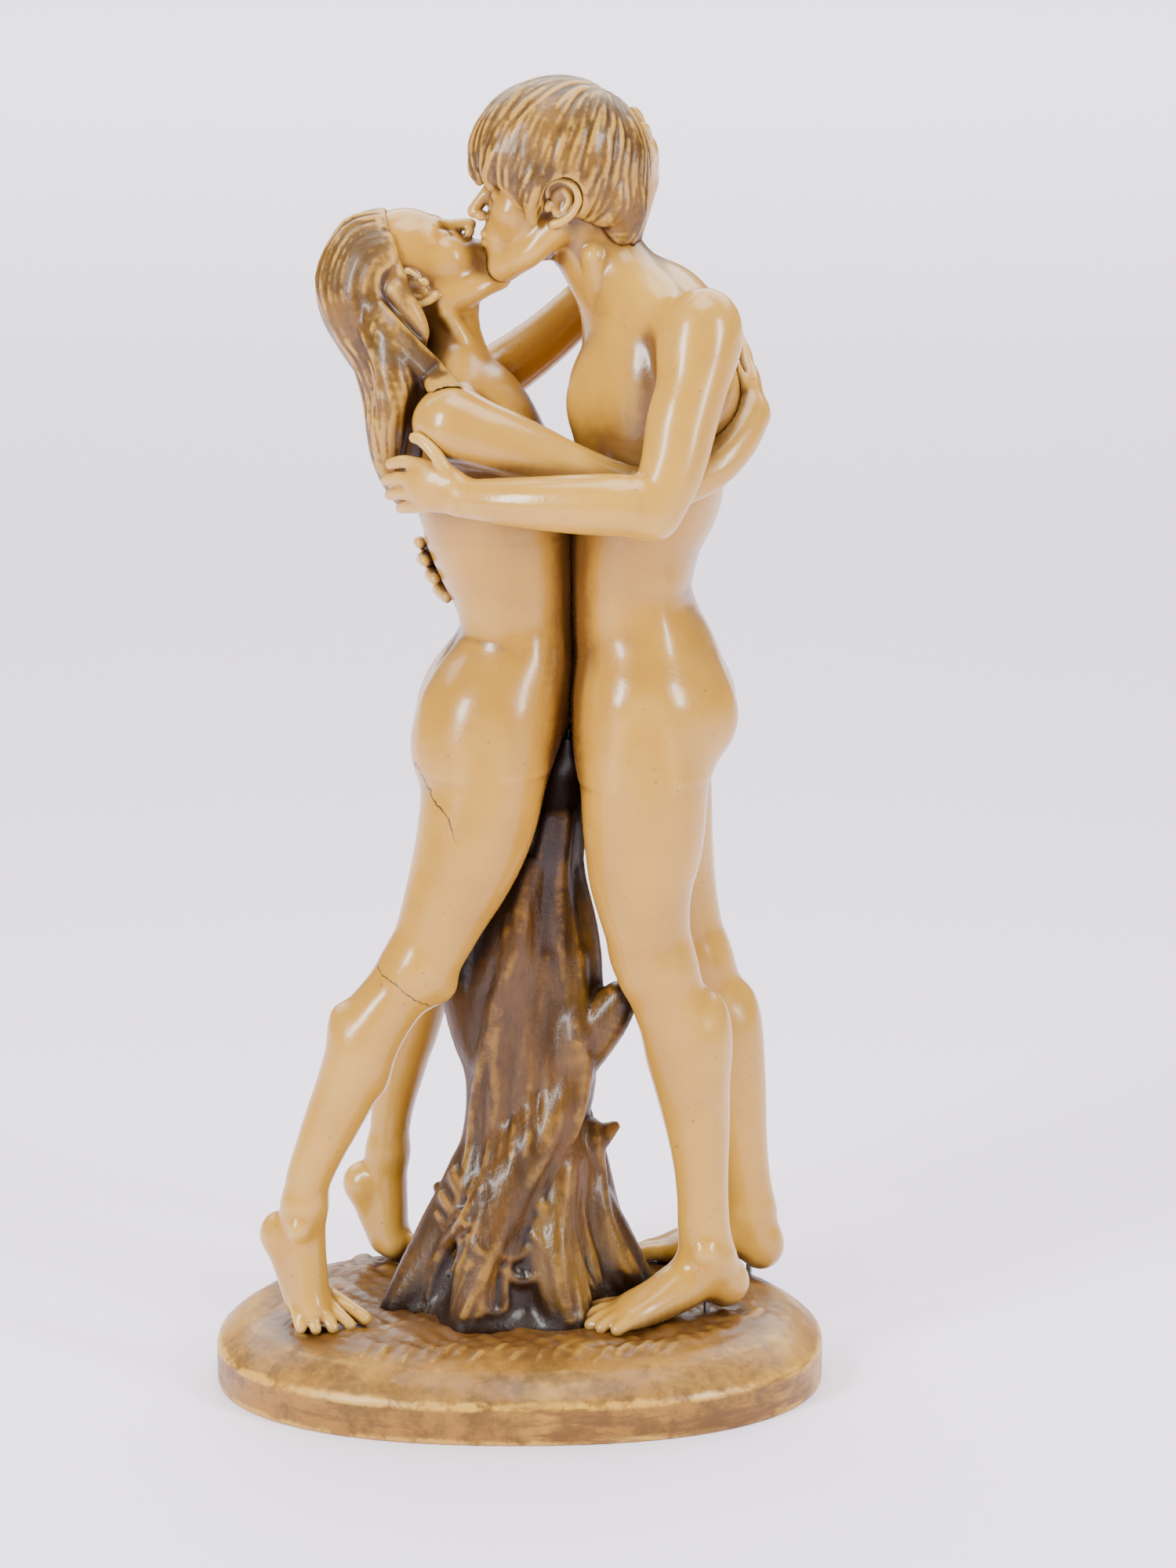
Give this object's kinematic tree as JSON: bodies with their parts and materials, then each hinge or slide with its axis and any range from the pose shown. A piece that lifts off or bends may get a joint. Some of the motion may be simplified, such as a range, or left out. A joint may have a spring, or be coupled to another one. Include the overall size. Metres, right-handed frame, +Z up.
{
  "type": "cast lovers statue",
  "caption": "Painted cast statue of two adult lovers embracing and kissing beside a tree stump, standing on an oval turf plinth.",
  "frame": {"origin": "centre of the bounding box's floor, under the plinth", "axes": "+Z up, the statue's height; +X from the woman's side to the man's side; -Y towards the side the pair is seen from"},
  "size_m": [0.257, 0.18, 0.5449],
  "materials": {
    "ivory_painted_skin": "cast body painted ivory tan, brown wash rubbed into the hollows, gloss varnish",
    "brown_painted_hair": "cast body painted brown, strands rubbed back to tan, gloss varnish",
    "brown_painted_bark": "cast body painted brown with ochre streaks, ridges rubbed back, gloss varnish",
    "brown_painted_turf": "cast body painted brown, edges rubbed back to tan, satin varnish",
    "armature_steel": "plain drawn wire, hidden inside"
  },
  "bodies": {
    "root": {"base_plinth": "brown_painted_turf", "tree_trunk": "brown_painted_bark", "tree_limb_left": "brown_painted_bark", "tree_limb_right": "brown_painted_bark", "tree_top": "brown_painted_bark", "woman_head": "ivory_painted_skin", "woman_hair": "brown_painted_hair", "woman_torso": "ivory_painted_skin", "woman_left_arm": "ivory_painted_skin", "woman_right_arm": "ivory_painted_skin", "woman_left_thigh": "ivory_painted_skin", "woman_right_thigh": "ivory_painted_skin", "woman_left_lower_leg": "ivory_painted_skin", "woman_right_lower_leg": "ivory_painted_skin", "man_head": "ivory_painted_skin", "man_hair": "brown_painted_hair", "man_torso": "ivory_painted_skin", "man_left_arm": "ivory_painted_skin", "man_right_arm": "ivory_painted_skin", "man_left_thigh": "ivory_painted_skin", "man_right_thigh": "ivory_painted_skin", "man_left_lower_leg": "ivory_painted_skin", "man_right_lower_leg": "ivory_painted_skin", "man_left_leg_rod": "armature_steel", "man_right_leg_rod": "armature_steel", "woman_right_leg_rod": "armature_steel", "woman_left_leg_rod": "armature_steel", "trunk_rod": "armature_steel", "man_neck_dowel": "armature_steel", "woman_neck_dowel": "armature_steel", "man_left_shoulder_peg": "armature_steel", "man_right_shoulder_peg": "armature_steel", "woman_right_shoulder_peg": "armature_steel", "woman_left_shoulder_peg": "armature_steel"}
  },
  "joints": []
}
